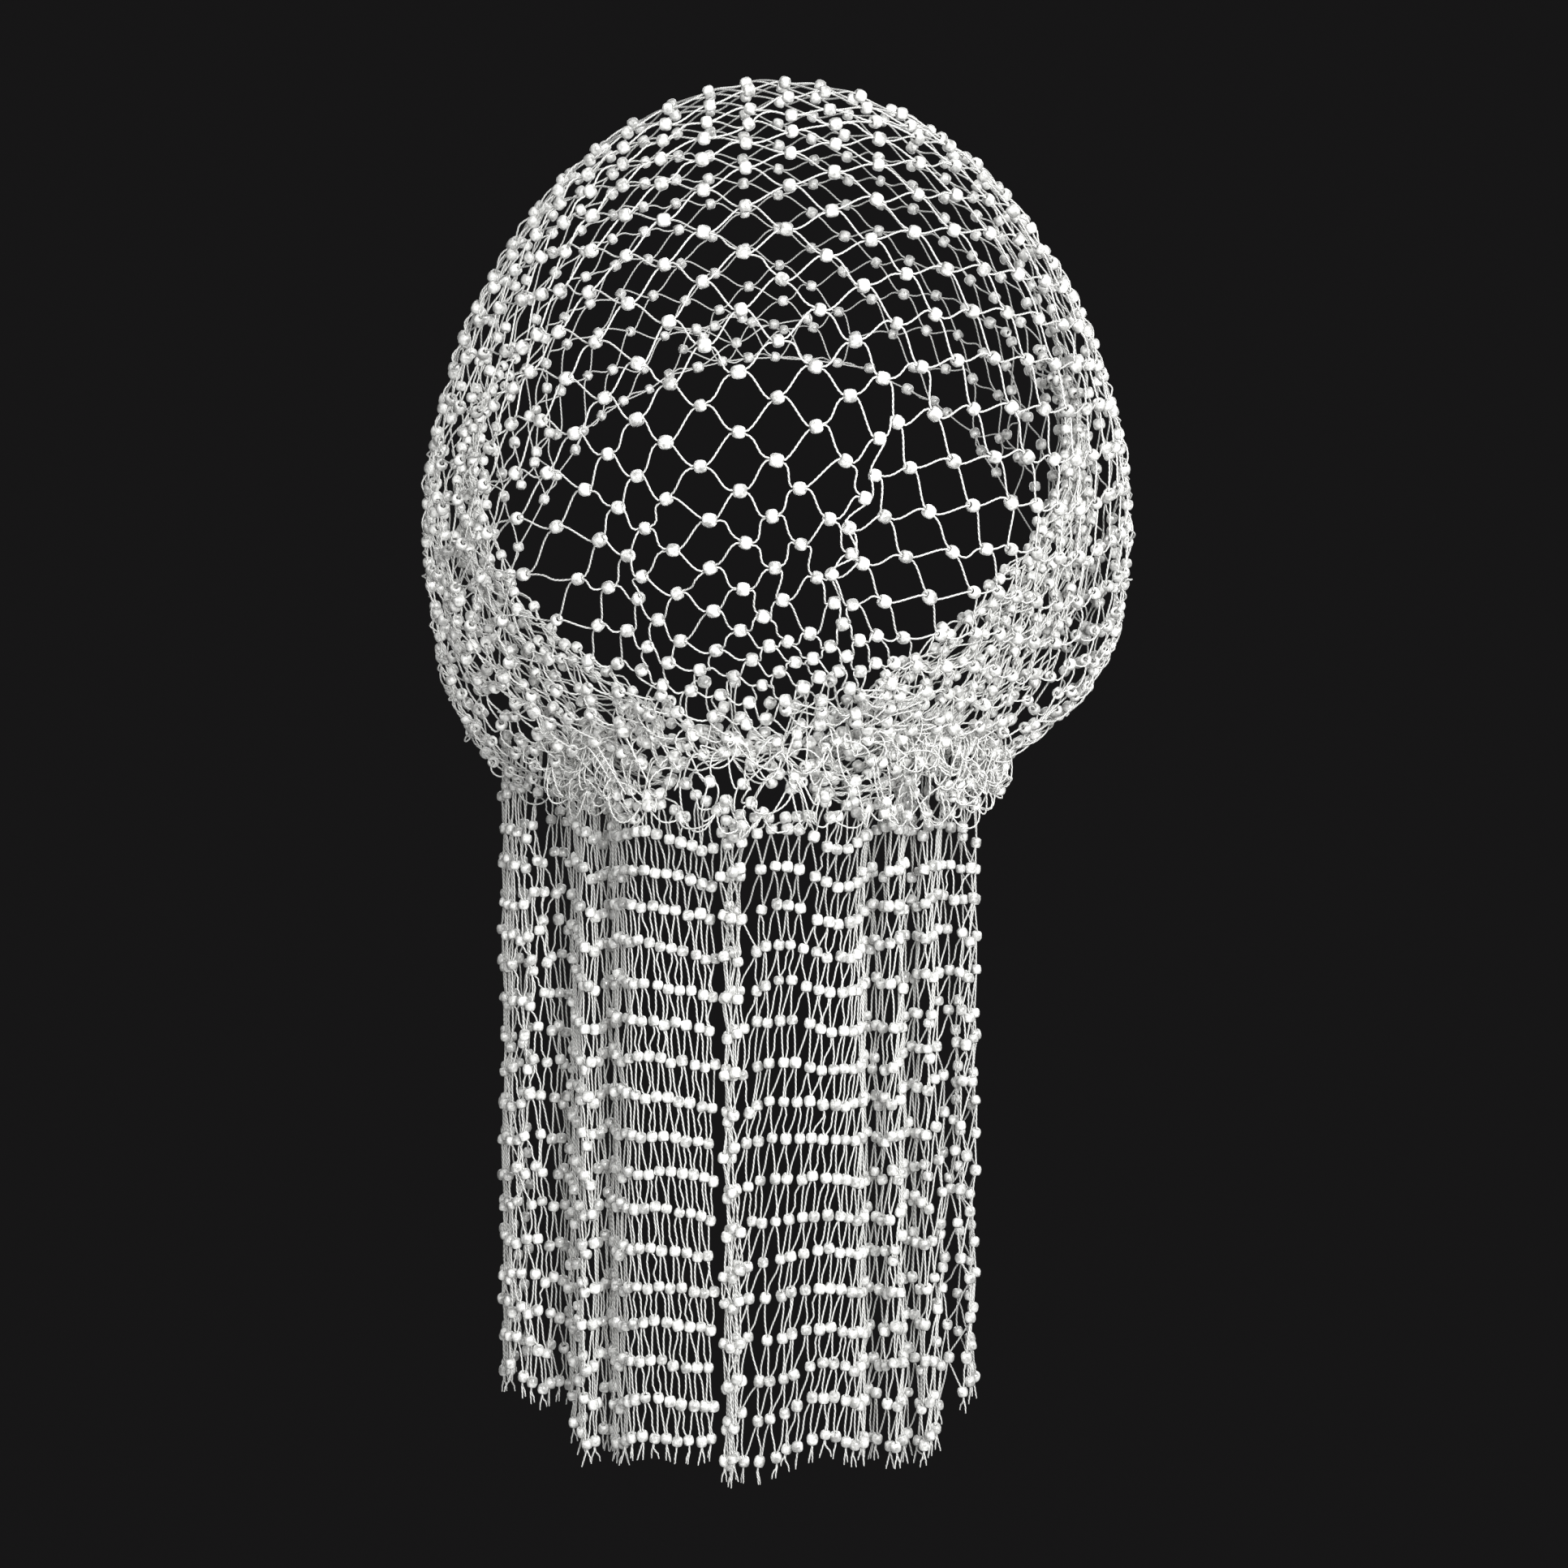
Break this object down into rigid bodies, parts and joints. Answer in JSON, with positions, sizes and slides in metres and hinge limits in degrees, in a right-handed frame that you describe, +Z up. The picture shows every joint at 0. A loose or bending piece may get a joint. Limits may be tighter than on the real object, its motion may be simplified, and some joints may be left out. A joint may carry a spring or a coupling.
{
  "type": "mesh headscarf",
  "caption": "Beaded open-mesh headscarf, shown as worn: a net crown, drawn back below the ears to a knot at the nape, with pleated ends hanging straight down.",
  "frame": {"origin": "the inside top of the crown, where it sits on the top of a head", "axes": "+Z up, the tails hang down along -Z; the back of the head faces -Y and the face opening +Y; +X is the wearer's right"},
  "size_m": [0.1748, 0.172, 0.3417],
  "materials": {
    "net_thread": "white twisted thread, satin",
    "gathered_net": "bunched white net, satin",
    "tail_net": "pleated white net, satin",
    "seed_beads": "pearly white glass seed beads, glossy"
  },
  "bodies": {
    "root": {"crown_net": "net_thread", "left_gather": "gathered_net", "right_gather": "gathered_net", "nape_knot": "gathered_net", "left_tail": "tail_net", "right_tail": "tail_net"}
  },
  "joints": []
}
